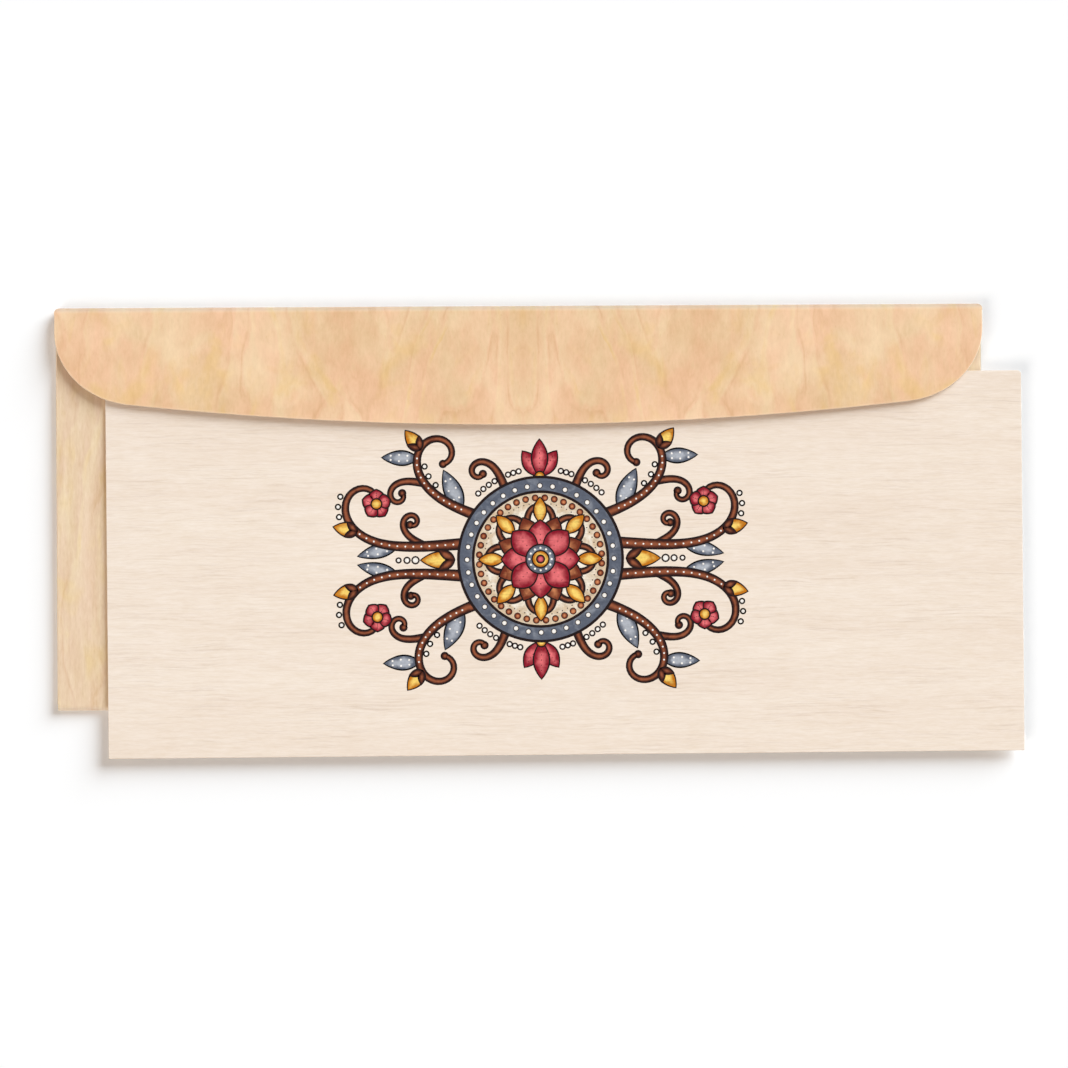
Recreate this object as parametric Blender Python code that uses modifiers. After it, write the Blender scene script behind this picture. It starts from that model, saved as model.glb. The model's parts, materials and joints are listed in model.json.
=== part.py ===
"""A wood-veneer envelope with its card, closed and lying on its back.

The envelope is one die-cut sheet, folded and glued. Each of its panels, tabs and
rounded folds is an object of its own, so the closing flap can turn about its fold.
Metres, +Z up. The origin is the centre of the back face, +Y points to the flap's fold.
"""

import math

import bmesh
import bpy
from mathutils import Matrix, Vector

# Closed envelope, over its outside
ENVELOPE_WIDTH = 0.2413
ENVELOPE_HEIGHT = 0.1048
SHEET_THICKNESS = 0.0006

# Clearances
PLY_GAP = 0.0003
SEAM_GAP = 0.0003

# Pocket
FRONT_PANEL_INSET = 0.0004
THROAT_SIDE_DROP = 0.0062
THROAT_SCOOP_DEPTH = 0.006
THROAT_CORNER_RADIUS = 0.003
SHOULDER_DROP = 0.0025
BOTTOM_RELIEF = 0.0004
SIDE_TAB_WIDTH = 0.016
SIDE_TAB_SLANT = 0.007
SIDE_TAB_CORNER_RADIUS = 0.004

# Closing flap, its depth measured from the outside of the fold
FLAP_DEPTH = 0.0312
FLAP_STRAIGHT_SIDE = 0.0063
FLAP_CORNER_LENGTH = 0.022
FLAP_CORNER_DEPTH = 0.0194
FOLD_CORNER_RADIUS = 0.0013

# Card, tucked under the flap on the outside of the pocket
CARD_THICKNESS = 0.0008
CARD_LENGTH_PLAY = 0.0032
CARD_HEIGHT_PLAY = 0.006
CARD_TOP_BELOW_FOLD = 0.018
CARD_SIDE_SHIFT = 0.0118
CARD_CORNER_RADIUS = 0.001
CARD_TURN = math.radians(0.25)

# Smoothness of the curves
FILLET_STEPS = 6
CORNER_STEPS = 18
EDGE_ARC_STEPS = 32
FOLD_STEPS = 14
JOIN_HALVINGS = 40
WELD_DISTANCE = 0.000001
CUT_OVERRUN = 0.002

# Finishes: linear colour and roughness
NATURAL_VENEER = (0.82, 0.57, 0.36, 1.0)
FOLDED_VENEER = (0.76, 0.51, 0.31, 1.0)
INNER_VENEER = (0.72, 0.50, 0.31, 1.0)
WHITENED_VENEER = (0.88, 0.76, 0.65, 1.0)
VENEER_ROUGHNESS = 0.55

# Heights of the plies, from the back face up
TAB_BOTTOM = SHEET_THICKNESS + PLY_GAP
FRONT_BOTTOM = TAB_BOTTOM + SHEET_THICKNESS + PLY_GAP
CARD_BOTTOM = FRONT_BOTTOM + SHEET_THICKNESS + PLY_GAP
CARD_TOP = CARD_BOTTOM + CARD_THICKNESS

# Each fold is round, and as high as the plies that it wraps
SIDE_FOLD_RADIUS = (TAB_BOTTOM + SHEET_THICKNESS) / 2
BOTTOM_FOLD_RADIUS = (FRONT_BOTTOM + SHEET_THICKNESS) / 2
FLAP_FOLD_RADIUS = (CARD_BOTTOM + SHEET_THICKNESS) / 2

# Lines where the flat panels end and the folds begin
SIDE_CREASE = ENVELOPE_WIDTH / 2 - SIDE_FOLD_RADIUS
BOTTOM_CREASE = -ENVELOPE_HEIGHT / 2 + BOTTOM_FOLD_RADIUS
FLAP_CREASE = ENVELOPE_HEIGHT / 2 - FLAP_FOLD_RADIUS
PANEL_TRIM = SEAM_GAP / 2

# Card size and place
CARD_LENGTH = ENVELOPE_WIDTH - CARD_LENGTH_PLAY
CARD_HEIGHT = ENVELOPE_HEIGHT - CARD_HEIGHT_PLAY
CARD_CENTRE_Y = ENVELOPE_HEIGHT / 2 - CARD_TOP_BELOW_FOLD - CARD_HEIGHT / 2


def clear_scene():
    for item in list(bpy.data.objects):
        bpy.data.objects.remove(item)


def new_collection(name):
    collection = bpy.data.collections.new(name)
    bpy.context.scene.collection.children.link(collection)
    return collection


def veneer(name, colour):
    material = bpy.data.materials.new(name)
    material.use_nodes = True
    shader = material.node_tree.nodes["Principled BSDF"]
    shader.inputs["Base Color"].default_value = colour
    shader.inputs["Roughness"].default_value = VENEER_ROUGHNESS
    shader.inputs["Metallic"].default_value = 0
    material.diffuse_color = colour
    return material


def filleted(corners):
    """The outline through these (x, y, radius) corners, each rounded by an arc."""
    points = []
    for index, (x, y, radius) in enumerate(corners):
        corner = Vector((x, y))
        if not radius:
            points.append(tuple(corner))
            continue
        back = (Vector(corners[index - 1][:2]) - corner).normalized()
        ahead = (Vector(corners[(index + 1) % len(corners)][:2]) - corner).normalized()
        half_angle = back.angle(ahead) / 2
        centre = corner + (back + ahead).normalized() * radius / math.sin(half_angle)
        start = corner + back * radius / math.tan(half_angle) - centre
        end = corner + ahead * radius / math.tan(half_angle) - centre
        turn = -start.angle_signed(end)
        for step in range(FILLET_STEPS + 1):
            arm = Matrix.Rotation(turn * step / FILLET_STEPS, 2) @ start
            points.append(tuple(centre + arm))
    return points


def shallow_arc(half_chord, rise, middle_y):
    """Points of a symmetric arc from left to right. Its middle is at middle_y, and its
    ends lie higher by rise."""
    radius = (half_chord**2 + rise**2) / (2 * rise)
    reach = math.asin(half_chord / radius)
    points = []
    for step in range(EDGE_ARC_STEPS + 1):
        angle = reach * (2 * step / EDGE_ARC_STEPS - 1)
        points.append((radius * math.sin(angle), middle_y + radius * (1 - math.cos(angle))))
    return points


def plate(name, outline, thickness, material, collection):
    """A flat sheet with this outline. Its underside is at the object's own zero height."""
    curve = bpy.data.curves.new(name, "CURVE")
    curve.dimensions = "2D"
    curve.fill_mode = "BOTH"
    curve.extrude = thickness / 2
    spline = curve.splines.new("POLY")
    spline.points.add(len(outline) - 1)
    for point, (x, y) in zip(spline.points, outline):
        point.co = (x, y, 0, 1)
    spline.use_cyclic_u = True
    item = bpy.data.objects.new(name, curve)
    item.data.materials.append(material)
    collection.objects.link(item)
    return item


def lay(item, bottom, thickness):
    """Puts a plate at its height in the stack of plies."""
    item.location.z = bottom + thickness / 2
    return item


def fold(name, half_length, outer_radius, turn, material, collection):
    """A rounded fold about the object's own X axis: its outer face is a line turned by a
    Screw, from straight below the axis, through +Y, and up. It stops short of the panels
    at both ends."""
    inner_radius = outer_radius - SHEET_THICKNESS
    trim = PANEL_TRIM / ((outer_radius + inner_radius) / 2)
    mesh = bpy.data.meshes.new(name)
    start_y = outer_radius * math.sin(trim)
    start_z = -outer_radius * math.cos(trim)
    ends = [(-half_length, start_y, start_z), (half_length, start_y, start_z)]
    mesh.from_pydata(ends, [(0, 1)], [])
    item = bpy.data.objects.new(name, mesh)
    item.data.materials.append(material)
    collection.objects.link(item)
    screw = item.modifiers.new("Turn", "SCREW")
    screw.axis = "X"
    screw.angle = turn - 2 * trim
    screw.steps = FOLD_STEPS
    screw.render_steps = FOLD_STEPS
    screw.use_merge_vertices = False
    screw.use_normal_flip = True
    screw.use_smooth_shade = True
    solidify = item.modifiers.new("Sheet", "SOLIDIFY")
    solidify.thickness = SHEET_THICKNESS
    solidify.offset = -1
    return item


def back_panel(material, collection):
    side = SIDE_CREASE - PANEL_TRIM
    top = FLAP_CREASE - PANEL_TRIM
    bottom = BOTTOM_CREASE + PANEL_TRIM
    outline = [(-side, top), (-side, bottom), (side, bottom), (side, top)]
    panel = plate("back_panel", outline, SHEET_THICKNESS, material, collection)
    return lay(panel, 0, SHEET_THICKNESS)


def front_panel(material, collection):
    """The pocket face, with a shallow scoop at the throat so that a card can be gripped."""
    side = ENVELOPE_WIDTH / 2 - FRONT_PANEL_INSET
    bottom = BOTTOM_CREASE + PANEL_TRIM
    top = ENVELOPE_HEIGHT / 2 - THROAT_SIDE_DROP
    half_scoop = side - 2 * THROAT_CORNER_RADIUS
    scoop = shallow_arc(half_scoop, THROAT_SCOOP_DEPTH, top - THROAT_SCOOP_DEPTH)
    throat = [(x, y, 0) for x, y in reversed(scoop)]
    corners = [(-side, top, THROAT_CORNER_RADIUS), (-side, bottom, 0), (side, bottom, 0)]
    corners += [(side, top, THROAT_CORNER_RADIUS)] + throat
    panel = plate("front_panel", filleted(corners), SHEET_THICKNESS, material, collection)
    return lay(panel, FRONT_BOTTOM, SHEET_THICKNESS)


def side_tab(name, side_sign, material, collection):
    """A glued tab, narrower at its free edge than at its fold."""
    root = SIDE_CREASE - PANEL_TRIM
    free = SIDE_CREASE - SIDE_TAB_WIDTH
    top = FLAP_CREASE - SHOULDER_DROP
    bottom = BOTTOM_CREASE + BOTTOM_RELIEF
    corners = [
        (root, top, 0),
        (free, top - SIDE_TAB_SLANT, SIDE_TAB_CORNER_RADIUS),
        (free, bottom + SIDE_TAB_SLANT, SIDE_TAB_CORNER_RADIUS),
        (root, bottom, 0),
    ]
    outline = [(side_sign * x, y) for x, y in filleted(corners)]
    tab = plate(name, outline, SHEET_THICKNESS, material, collection)
    return lay(tab, TAB_BOTTOM, SHEET_THICKNESS)


def side_fold(name, side_sign, material, collection):
    top = FLAP_CREASE - SHOULDER_DROP
    bottom = BOTTOM_CREASE + BOTTOM_RELIEF
    item = fold(name, (top - bottom) / 2, SIDE_FOLD_RADIUS, math.pi, material, collection)
    item.location = (side_sign * SIDE_CREASE, (top + bottom) / 2, SIDE_FOLD_RADIUS)
    item.rotation_euler.z = -side_sign * math.pi / 2
    return item


def bottom_fold(material, collection):
    half_length = ENVELOPE_WIDTH / 2 - FRONT_PANEL_INSET
    item = fold("bottom_fold", half_length, BOTTOM_FOLD_RADIUS, math.pi, material, collection)
    item.location = (0, BOTTOM_CREASE, BOTTOM_FOLD_RADIUS)
    item.rotation_euler.z = math.pi
    return item


def card_top_corner():
    """How near to the flap's fold the card's turned upper edge comes, in Y."""
    rise = CARD_LENGTH / 2 * math.sin(abs(CARD_TURN))
    return CARD_CENTRE_Y + CARD_HEIGHT / 2 * math.cos(CARD_TURN) + rise


def flap_tilt():
    """How far the closed flap stands up, so that its underside clears the card's upper edge."""
    away = FLAP_CREASE - card_top_corner()
    above = CARD_TOP - FLAP_FOLD_RADIUS
    clear_radius = FLAP_FOLD_RADIUS - SHEET_THICKNESS - PLY_GAP
    return math.acos(clear_radius / math.hypot(away, above)) - math.atan2(away, above)


def flap_fold(material, collection, cutter):
    half_length = ENVELOPE_WIDTH / 2
    turn = math.pi - flap_tilt()
    item = fold("flap_fold", half_length, FLAP_FOLD_RADIUS, turn, material, collection)
    item.location = (0, FLAP_CREASE, FLAP_FOLD_RADIUS)
    rounding = item.modifiers.new("Rounded corners", "BOOLEAN")
    rounding.operation = "INTERSECT"
    rounding.solver = "EXACT"
    rounding.object = cutter
    return item


def flap_corner(angle):
    """A point of the flap's corner, as far in from the side and as far down from the fold,
    and the edge's steepness there. The corner is a quarter of an ellipse."""
    inward = FLAP_CORNER_LENGTH * (1 - math.cos(angle))
    down = FLAP_STRAIGHT_SIDE + FLAP_CORNER_DEPTH * math.sin(angle)
    fall = FLAP_CORNER_DEPTH * math.cos(angle)
    return inward, down, math.atan2(fall, FLAP_CORNER_LENGTH * math.sin(angle))


def flap_corner_turn():
    """The angle of the ellipse at which it runs smoothly into the arc of the lower edge. An
    arc that is level at its middle is twice as steep at its end as the chord between."""
    low = 0
    high = math.pi / 2
    for _ in range(JOIN_HALVINGS):
        angle = (low + high) / 2
        inward, down, steepness = flap_corner(angle)
        chord = math.atan2(FLAP_DEPTH - down, ENVELOPE_WIDTH / 2 - inward)
        if steepness > 2 * chord:
            low = angle
        else:
            high = angle
    return (low + high) / 2


def closing_flap(material, collection, hinge):
    """The flap, flat, with its own origin on the fold's axis."""
    side = ENVELOPE_WIDTH / 2
    corner_turn = flap_corner_turn()
    left = [(-side, -PANEL_TRIM)]
    for step in range(CORNER_STEPS):
        inward, down, _ = flap_corner(corner_turn * step / CORNER_STEPS)
        left.append((inward - side, FLAP_FOLD_RADIUS - down))
    inward, down, _ = flap_corner(corner_turn)
    lower_edge = shallow_arc(side - inward, FLAP_DEPTH - down, FLAP_FOLD_RADIUS - FLAP_DEPTH)
    right = [(-x, y) for x, y in reversed(left)]
    item = plate("closing_flap", left + lower_edge + right, SHEET_THICKNESS, material, collection)
    item.parent = hinge
    lay(item, FLAP_FOLD_RADIUS - SHEET_THICKNESS, SHEET_THICKNESS)
    return item


def flap_hinge(collection):
    """The axis that the flap turns about, tilted as the closed flap is."""
    hinge = bpy.data.objects.new("flap_hinge", None)
    hinge.empty_display_size = FLAP_FOLD_RADIUS
    hinge.location = (0, FLAP_CREASE, FLAP_FOLD_RADIUS)
    hinge.rotation_euler.x = -flap_tilt()
    collection.objects.link(hinge)
    return hinge


def card(material, collection):
    side = CARD_LENGTH / 2
    half = CARD_HEIGHT / 2
    corners = [
        (-side, half, CARD_CORNER_RADIUS),
        (-side, -half, 0),
        (side, -half, 0),
        (side, half, CARD_CORNER_RADIUS),
    ]
    item = plate("card", filleted(corners), CARD_THICKNESS, material, collection)
    item.location = (CARD_SIDE_SHIFT, CARD_CENTRE_Y, 0)
    item.rotation_euler.z = CARD_TURN
    return lay(item, CARD_BOTTOM, CARD_THICKNESS)


def as_mesh(item, collection):
    """The same shape as a mesh object, its caps welded to its sides."""
    bpy.context.view_layer.update()
    graph = bpy.context.evaluated_depsgraph_get()
    mesh = bpy.data.meshes.new_from_object(item.evaluated_get(graph))
    welded = bmesh.new()
    welded.from_mesh(mesh)
    bmesh.ops.remove_doubles(welded, verts=welded.verts, dist=WELD_DISTANCE)
    welded.to_mesh(mesh)
    welded.free()
    name = item.name
    copy = bpy.data.objects.new(name + "_mesh", mesh)
    copy.matrix_world = item.matrix_world
    bpy.data.objects.remove(item)
    copy.name = name
    collection.objects.link(copy)
    return copy


def corner_cutter(material, collection):
    """The top of the envelope as seen from above, with its two corners rounded."""
    side = ENVELOPE_WIDTH / 2
    top = ENVELOPE_HEIGHT / 2
    corners = [
        (-side, top, FOLD_CORNER_RADIUS),
        (-side, 0, 0),
        (side, 0, 0),
        (side, top, FOLD_CORNER_RADIUS),
    ]
    height = CARD_BOTTOM + SHEET_THICKNESS + 2 * CUT_OVERRUN
    outline = plate("corner_outline", filleted(corners), height, material, collection)
    lay(outline, -CUT_OVERRUN, height)
    cutter = as_mesh(outline, collection)
    cutter.hide_render = True
    cutter.display_type = "WIRE"
    return cutter


def main():
    clear_scene()
    parts = new_collection("wooden_envelope")
    cutters = new_collection("cutters")
    natural = veneer("natural_veneer", NATURAL_VENEER)
    folded = veneer("folded_veneer", FOLDED_VENEER)
    inner = veneer("inner_veneer", INNER_VENEER)
    whitened = veneer("whitened_veneer", WHITENED_VENEER)
    back_panel(natural, parts)
    front_panel(natural, parts)
    for name, side_sign in (("left", -1), ("right", 1)):
        side_tab(name + "_side_tab", side_sign, inner, parts)
        side_fold(name + "_side_fold", side_sign, folded, parts)
    bottom_fold(folded, parts)
    flap_fold(folded, parts, corner_cutter(folded, cutters))
    closing_flap(natural, parts, flap_hinge(parts))
    card(whitened, parts)


main()
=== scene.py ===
"""Looks of a flat wooden envelope, its closing flap and the whitened card tucked under it. Metres, +Z up."""

import json
import math
from itertools import product
from typing import NamedTuple

import bmesh
import bpy
from mathutils import Euler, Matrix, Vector

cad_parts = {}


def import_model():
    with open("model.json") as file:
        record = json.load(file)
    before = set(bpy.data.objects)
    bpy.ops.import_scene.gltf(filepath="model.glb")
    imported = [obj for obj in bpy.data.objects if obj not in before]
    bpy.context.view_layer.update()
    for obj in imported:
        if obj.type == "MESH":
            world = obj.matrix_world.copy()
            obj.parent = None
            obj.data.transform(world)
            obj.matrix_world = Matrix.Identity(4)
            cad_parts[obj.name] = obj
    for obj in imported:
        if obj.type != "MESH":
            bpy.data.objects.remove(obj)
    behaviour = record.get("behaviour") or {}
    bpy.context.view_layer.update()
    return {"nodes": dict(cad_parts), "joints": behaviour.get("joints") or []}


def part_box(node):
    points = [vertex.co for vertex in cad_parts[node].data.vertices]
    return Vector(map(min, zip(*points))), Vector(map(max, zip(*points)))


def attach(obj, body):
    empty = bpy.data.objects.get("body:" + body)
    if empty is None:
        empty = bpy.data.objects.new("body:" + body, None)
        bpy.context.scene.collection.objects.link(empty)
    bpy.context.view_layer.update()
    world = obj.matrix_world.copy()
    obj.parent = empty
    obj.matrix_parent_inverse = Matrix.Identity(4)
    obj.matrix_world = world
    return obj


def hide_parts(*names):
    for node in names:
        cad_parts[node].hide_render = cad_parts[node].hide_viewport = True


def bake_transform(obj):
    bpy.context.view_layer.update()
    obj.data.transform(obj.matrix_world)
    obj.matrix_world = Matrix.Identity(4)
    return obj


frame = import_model()

# Places read from the frame
NODES = frame["nodes"]
HINGE = next(Vector(joint["pos_m"]) for joint in frame["joints"] if joint["name"] == "flap_hinge")
BACK_LOW, BACK_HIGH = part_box("back_panel")
FRONT_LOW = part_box("front_panel")[0]
TAB_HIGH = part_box("right_side_tab")[1]
CARD_LOW, CARD_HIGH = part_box("card")
SHEET_THICKNESS = BACK_HIGH.z - BACK_LOW.z
CARD_THICKNESS = CARD_HIGH.z - CARD_LOW.z
UP = Vector((0, 0, 1))
DOWN = Vector((0, 0, -1))

# Camera: a long lens above the envelope, a little off its middle and turned, as in the photograph
LENS = 100.0
SENSOR = 36.0
VIEW_WIDTH = 0.27756
VIEW_CENTRE = (0.00383, -0.00701)
VIEW_TURN = math.radians(-0.3)

# Light: a warm even dome, a wide low key from the upper right and a weaker fill from the lower left.
# The key's tint makes up for the other two, so that together they render a colour as written.
DOME_COLOUR = (1.0, 0.80, 0.64)
DOME_STRENGTH = 0.23
FILL_COLOUR = (1.0, 0.95, 0.90)
FILL_STRENGTH = 0.26
FILL_TOWARDS = Vector((-0.56, -0.56, 0.62)).normalized()
FILL_ANGLE = math.radians(34)
KEY_STRENGTH = 0.51
KEY_TOWARDS = Vector((0.60, 0.58, 0.46)).normalized()
KEY_ANGLE = math.radians(40)
FLOOR_SIZE = 3.0
FLOOR_DROP = 0.00005
FLOOR_COLOUR = (250, 250, 250)
FLOOR_LIFT = 0.05

# Edges and folds
WELD_DISTANCE = 0.000002
EDGE_ROUNDING = 0.00014
FLAP_EDGE_ROUNDING = 0.0002
EDGE_STEPS = 3
FLAT_ANGLE = math.radians(0.05)
SHARP_ANGLE = math.radians(40)
FOLD_CORNER_RADIUS = 0.0013
FOLD_ARC_STEPS = 24
FOLD_LENGTH_STEPS = 64

# Gum band on the flap's inner face
GUM_INSET = 0.0028
GUM_WIDTH = 0.0110
GUM_END_INSET = 0.0060
GUM_END_SQUARENESS = 14
GUM_THICKNESS = 0.00004
GUM_STEPS = 90

# Colours as they look in daylight, in red, green and blue up to 255
PEACH = (237, 192, 154)
CREAM = (236, 204, 163)
FIGURE_LINE = (218, 168, 122)
VENEER_STAIN = (233, 194, 134)
SAND = (235, 206, 178)
STRAW = (239, 216, 182)
POCKET_LINE = (222, 184, 140)
POCKET_STAIN = (236, 208, 156)
CUT_EDGE = (252, 232, 206)
GLUE = (176, 136, 98)
INNER_FACE = (226, 190, 152)
GUM = (230, 196, 148)
CARD_PALE = (245, 230, 214)
CARD_TONE = (241, 224, 207)
CARD_STREAK = (208, 186, 167)
CARD_EDGE = (236, 219, 202)

# Sizes of a grain along Z
SHALLOW = 0.020
DEEP = 0.080


class Grain(NamedTuple):
    """A layer of noise: its size along X and Y, its weight, its depth along Z, and where it shows."""
    size: tuple
    weight: float = 1.0
    detail: float = 2.0
    roughness: float = 0.5
    distortion: float = 0.0
    depth: float = SHALLOW
    shows: tuple = (-0.5, 0.5)


class Leaf(NamedTuple):
    """How one leaf of veneer looks: its colours, and the sizes and strengths of its figure.

    pith is the middle of its growth rings, shift its place in the noise, and match_line the place along X
    where it is mirrored. The last three fields give a painted highlight on a face's rim, painted light on
    a fold's outside and, below 0, painted shade there.
    """
    warm: tuple
    pale: tuple
    line: tuple
    stain: tuple
    blotch: Grain
    pith: tuple
    ring_rate: tuple
    ring_wander: float
    line_share: float
    stain_share: float
    tones: tuple
    shift: tuple
    match_line: float = None
    painted_rim_highlight: float = 0.05
    bend_tone: float = 0.30
    bend_shade: float = 0.0


class Sheet(NamedTuple):
    """Where a sheet's outer face lies: flat at a level along its outward direction, or round a fold's axis.

    Round an axis, outward has a 1 for each coordinate that counts towards the distance from it.
    """
    outward: tuple
    level: float
    centre: tuple = None


class Finish(NamedTuple):
    """How a surface shines: its roughness, how far its grain swings that, and its specular level."""
    roughness: float
    swing: float
    specular: float = 0.25


class Ink(NamedTuple):
    """An ink: its colour at the rim of a patch and at its heart, and how far in the rim's colour reaches."""
    rim: tuple
    heart: tuple
    settled: float = 0.75


# Grain of the natural veneer, which runs along Y
RING_WANDER = Grain((0.022, 0.050), depth=DEEP, distortion=0.6)
RING_WIGGLE = Grain((0.0026, 0.0078), weight=0.50, detail=4.0, roughness=0.55)
RING_TONE = 0.17
RING_CREST = (0.86, 1.0)
RING_DARKENING = 0.034
RING_LINE = 0.20
LINE_STEEPNESS = 4
LINE_PRESENCE = Grain((0.010, 0.014), depth=DEEP, shows=(-0.10, 0.14))
STAIN_OFFSET = 0.38
STAIN_LINE = 0.42
STAIN_LINE_SHOWS = (0.06, -0.24)
STAIN_PATCHES = Grain(
    (0.0120, 0.0180), depth=DEEP, detail=3.0, roughness=0.6, distortion=0.4, shows=(0.02, 0.22),
)
VENEER_BLOTCH = Grain((0.0100, 0.0200), depth=DEEP, detail=3.0, roughness=0.55, distortion=0.8)
POCKET_BLOTCH = Grain((0.0060, 0.0260), depth=DEEP, detail=3.0, roughness=0.6, distortion=0.4)
BLOTCH_SHOWS = (-0.16, 0.16 + RING_TONE)
VENEER_TONES = (
    Grain((0.018, 0.030), depth=DEEP, weight=0.62),
    Grain((0.0048, 0.0070), weight=0.22, roughness=0.6, distortion=0.3),
    Grain((0.0016, 0.0032), weight=0.15, roughness=0.6, distortion=0.3),
    Grain((0.00070, 0.0015), weight=0.13, roughness=0.6),
)
POCKET_TONES = (
    Grain((0.022, 0.060), depth=DEEP, weight=0.22),
    Grain((0.0042, 0.0480), weight=0.26, roughness=0.6, distortion=0.15),
    Grain((0.0013, 0.0200), weight=0.24, roughness=0.6, distortion=0.1),
    Grain((0.00062, 0.0026), weight=0.27, roughness=0.6),
)
FINE_GRAIN = Grain((0.00034, 0.0026), weight=0.085, roughness=0.6)
PORES = Grain((0.00028, 0.0011), detail=1.0, shows=(0.10, 0.26))
PORE_DEPTH = 0.05
WOOD_TINT = (0.7, 1.0, 1.5)
VENEER_FINISH = Finish(0.62, 0.25)
GRAIN_BUMP = 0.000015
# Where round a fold's bend its painted light and painted shade show
BEND_SHOWS = (0.0, 0.75)
# A narrow rim inside each outer face's outline, which gets a painted highlight
RIM_MARK = "rim"
RIM_WIDTH = 0.00035

# A sheet's inner face, cut edge and glue line, as depths from 0 at its outer face to 1 at its inner one.
# The share says how strongly the inner face's colour shows, and the glue line fades over its reach.
INNER_FACE_DEPTHS = (0.90, 0.97)
INNER_FACE_SHARE = 0.7
CUT_STARTS = (0.01, 0.06)
CUT_ENDS = (0.90, 1.0)
GLUE_DEPTH = 0.5
GLUE_REACH = (0.05, 0.15)
CARD_CUT_STARTS = (0.0, 0.08)
CARD_CUT_ENDS = (0.92, 1.0)

# Dried gum, brushed on along X
GUM_STROKES = Grain((0.012, 0.0006), weight=0.07, roughness=0.6)
GUM_PATCHES = Grain((0.006, 0.003), weight=0.06, detail=3.0, roughness=0.6)
GUM_FINISH = Finish(0.36, 0.20, 0.5)

# Grain of the whitened card, which runs along X
CARD_BEND = Grain((0.016, 0.0080), weight=0.0016)
CARD_STREAKS = Grain((0.0150, 0.00050), detail=4.0, roughness=0.72, shows=(-0.02, 0.22))
CARD_FIELDS = Grain((0.030, 0.0050), roughness=0.6, shows=(-0.14, 0.16))
CARD_FIELD_SHARE = 0.7
CARD_BANDS = Grain((0.060, 0.0060), detail=3.0, shows=(-0.25, 0.25))
CARD_HAIRS = Grain((0.0019, 0.00028), weight=0.120, detail=1.0, roughness=0.6)
CARD_TONES = (
    Grain((0.0060, 0.00075), weight=0.22, detail=3.0, roughness=0.65),
    Grain((0.020, 0.0022), weight=0.03, detail=3.0, roughness=0.6),
    Grain((0.012, 0.0060), weight=0.04, detail=3.0, roughness=0.6),
)
CARD_STREAK_SHARE = 0.44
CARD_STREAK_DEPTH = 1.0
CARD_HAIR_HEIGHT = 0.5
# Painted highlight along the card's rim
CARD_PAINTED_RIM_HIGHLIGHT = 0.03
CARD_FINISH = Finish(0.60, 0.30)

# Inks of the card's ornament, and how they sit on it
INKS = {
    "outline": Ink((24, 12, 12), (34, 20, 18)),
    "brown": Ink((56, 22, 16), (156, 88, 58), 1.10),
    "rust": Ink((112, 46, 28), (214, 138, 92), 0.95),
    "crimson": Ink((138, 18, 38), (236, 116, 120), 0.90),
    "gold": Ink((196, 116, 18), (252, 214, 112)),
    "slate": Ink((92, 98, 112), (178, 182, 190)),
    "white": Ink((240, 232, 222), (255, 252, 248)),
    "wash": Ink((218, 194, 164), (248, 238, 222), 0.45),
}
INK_HEART = "ink_heart"
INK_LAYER = 0.0000035
INK_SINK = 0.00001
INK_LINE = 0.00042
INK_GRANULES = Grain((0.00045, 0.00045), weight=0.44, detail=3.0, roughness=0.65)
INK_POOLS = Grain((0.0022, 0.0022), weight=1.10, distortion=0.6)
INK_BRUSH = Grain((0.0012, 0.0009), weight=0.36)
INK_STREAK_SHARE = 0.22
INK_STREAK_DEPTH = 0.6
INK_GRANULE_HEIGHT = 0.6
INK_FINISH = Finish(0.65, 0.30, 0.12)


def linear(colour):
    """A colour in 0 to 255 as the shader needs it, by the curve of a screen's standard colours."""
    def channel(value):
        share = value / 255
        return share / 12.92 if share <= 0.04045 else ((share + 0.055) / 1.055) ** 2.4
    return (*map(channel, colour), 1.0)


class Nodes:
    """The node tree of a material or a world, with short calls for adding to it."""

    def __init__(self, owner):
        owner.use_nodes = True
        self.nodes = owner.node_tree.nodes
        self.links = owner.node_tree.links

    def add(self, kind, inputs=None, **settings):
        node = self.nodes.new("ShaderNode" + kind)
        for name, value in settings.items():
            setattr(node, name, value)
        for key, value in (inputs or {}).items():
            self.put(node.inputs[key], value)
        return node

    def put(self, socket, value):
        if isinstance(value, bpy.types.NodeSocket):
            self.links.new(value, socket)
        else:
            socket.default_value = value

    def math(self, operation, *values):
        return self.add("Math", dict(enumerate(values)), operation=operation).outputs[0]

    def seen(self):
        """1 for rays that come from the camera, a mirror or glass, and 0 for all others."""
        rays = self.add("LightPath").outputs
        mirrored = self.math("MAXIMUM", rays["Is Glossy Ray"], rays["Is Transmission Ray"])
        return self.math("MAXIMUM", rays["Is Camera Ray"], mirrored)


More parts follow.
